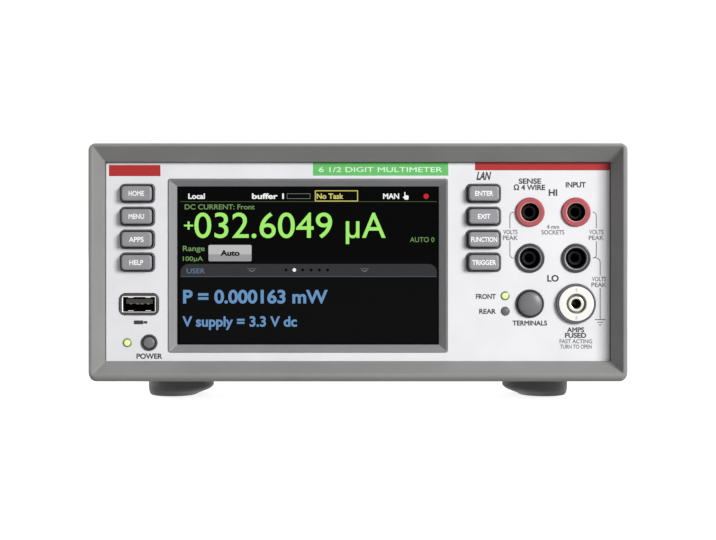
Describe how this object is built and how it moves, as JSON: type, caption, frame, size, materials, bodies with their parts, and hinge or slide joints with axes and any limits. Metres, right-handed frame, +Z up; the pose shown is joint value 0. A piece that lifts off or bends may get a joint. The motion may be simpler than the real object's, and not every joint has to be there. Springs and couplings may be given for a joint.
{
  "type": "bench multimeter",
  "caption": "Bench multimeter in a long low case: touch display, two key columns, 4 mm jacks, fused current jack, rubber end bumpers and feet.",
  "frame": {"origin": "on the table under the middle of the bumpers' outer box", "axes": "+Z up, -Y out of the front panel, +X to the right seen from the front"},
  "size_m": [0.2202, 0.376, 0.1076],
  "materials": {
    "bumper_rubber": "satin, fine grain",
    "panel_plastic": "fine matt texture",
    "surround_plastic": "satin",
    "display_glass": "polished, dark behind",
    "bare_aluminium": "brushed",
    "dark_plastic": "satin",
    "black_plastic": "satin",
    "button_grey": "satin",
    "key_plastic": "satin",
    "lamp_lit": "clear, lit",
    "lamp_dark": "clear, unlit",
    "jack_red": "glossy",
    "jack_black": "glossy",
    "liner_grey": "satin",
    "contact_nickel": "nickel plated",
    "nickel_steel": "nickel plated sheet",
    "carrier_white": "satin",
    "fuse_glass": "metal caps on a glass body",
    "circuit_board": "solder mask",
    "zinc_steel": "zinc plated",
    "case_paint": "fine powder coat",
    "screw_steel": "zinc plated",
    "foot_rubber": "satin",
    "transformer_iron": "varnished laminations"
  },
  "bodies": {
    "case": {"front_bezel": "bumper_rubber", "rear_bumper": "bumper_rubber", "front_panel": "panel_plastic", "display_surround": "surround_plastic", "touch_glass": "display_glass", "lcd_module": "bare_aluminium", "left_key_frame": "dark_plastic", "right_key_frame": "dark_plastic", "key_switches": "black_plastic", "power_switch": "black_plastic", "terminals_switch": "black_plastic", "usb_surround": "black_plastic", "usb_shell": "nickel_steel", "usb_tongue": "black_plastic", "power_collar": "dark_plastic", "terminals_collar": "dark_plastic", "power_light": "lamp_lit", "front_light": "lamp_lit", "rear_light": "lamp_dark", "sense_hi_jack": "jack_red", "input_hi_jack": "jack_red", "rear_red_jacks": "jack_red", "sense_lo_jack": "jack_black", "input_lo_jack": "jack_black", "rear_black_jacks": "jack_black", "jack_liners": "liner_grey", "jack_contacts": "contact_nickel", "amps_holder": "dark_plastic", "front_board": "circuit_board", "main_board": "circuit_board", "chassis_base": "zinc_steel", "top_cover": "case_paint", "rear_panel": "bare_aluminium", "cover_screws": "screw_steel", "foot_screws": "screw_steel", "front_left_foot": "foot_rubber", "front_right_foot": "foot_rubber", "rear_left_foot": "foot_rubber", "rear_right_foot": "foot_rubber", "power_transformer": "transformer_iron", "analog_shield": "zinc_steel", "power_inlet": "black_plastic", "inlet_pins": "contact_nickel", "network_port": "nickel_steel", "usb_device_port": "nickel_steel", "card_slot_cover": "case_paint"},
    "power_button": {"power_button": "button_grey"},
    "terminals_button": {"terminals_button": "button_grey"},
    "amps_carrier": {"amps_carrier": "carrier_white", "amps_contact": "contact_nickel"},
    "amps_fuse": {"amps_fuse": "fuse_glass"},
    "fuse_drawer": {"line_fuse_drawer": "black_plastic"},
    "home_key": {"key_home": "key_plastic"},
    "menu_key": {"key_menu": "key_plastic"},
    "apps_key": {"key_apps": "key_plastic"},
    "help_key": {"key_help": "key_plastic"},
    "enter_key": {"key_enter": "key_plastic"},
    "exit_key": {"key_exit": "key_plastic"},
    "function_key": {"key_function": "key_plastic"},
    "trigger_key": {"key_trigger": "key_plastic"}
  },
  "joints": [
    {"name": "home_press", "type": "slide", "parent": "case", "child": "home_key", "axis": [0, 1, 0], "range_m": [0, 0.0012], "stiffness_N_per_m": 400},
    {"name": "menu_press", "type": "slide", "parent": "case", "child": "menu_key", "axis": [0, 1, 0], "range_m": [0, 0.0012], "stiffness_N_per_m": 400},
    {"name": "apps_press", "type": "slide", "parent": "case", "child": "apps_key", "axis": [0, 1, 0], "range_m": [0, 0.0012], "stiffness_N_per_m": 400},
    {"name": "help_press", "type": "slide", "parent": "case", "child": "help_key", "axis": [0, 1, 0], "range_m": [0, 0.0012], "stiffness_N_per_m": 400},
    {"name": "enter_press", "type": "slide", "parent": "case", "child": "enter_key", "axis": [0, 1, 0], "range_m": [0, 0.0012], "stiffness_N_per_m": 400},
    {"name": "exit_press", "type": "slide", "parent": "case", "child": "exit_key", "axis": [0, 1, 0], "range_m": [0, 0.0012], "stiffness_N_per_m": 400},
    {"name": "function_press", "type": "slide", "parent": "case", "child": "function_key", "axis": [0, 1, 0], "range_m": [0, 0.0012], "stiffness_N_per_m": 400},
    {"name": "trigger_press", "type": "slide", "parent": "case", "child": "trigger_key", "axis": [0, 1, 0], "range_m": [0, 0.0012], "stiffness_N_per_m": 400},
    {"name": "power_press", "type": "slide", "parent": "case", "child": "power_button", "axis": [0, 1, 0], "range_m": [0, 0.002], "stiffness_N_per_m": 400},
    {"name": "terminals_press", "type": "slide", "parent": "case", "child": "terminals_button", "axis": [0, 1, 0], "range_m": [0, 0.003], "stiffness_N_per_m": 400},
    {"name": "amps_pull", "type": "slide", "parent": "case", "child": "amps_fuse", "axis": [0, -1, 0], "range_m": [0, 0.046]},
    {"name": "amps_turn", "type": "hinge", "parent": "amps_fuse", "child": "amps_carrier", "pos_m": [0.09015, -0.1795, 0.04165], "axis": [0, -1, 0], "range_deg": [0, 90]},
    {"name": "fuse_drawer_pull", "type": "slide", "parent": "case", "child": "fuse_drawer", "axis": [0, 1, 0], "range_m": [0, 0.018]}
  ]
}
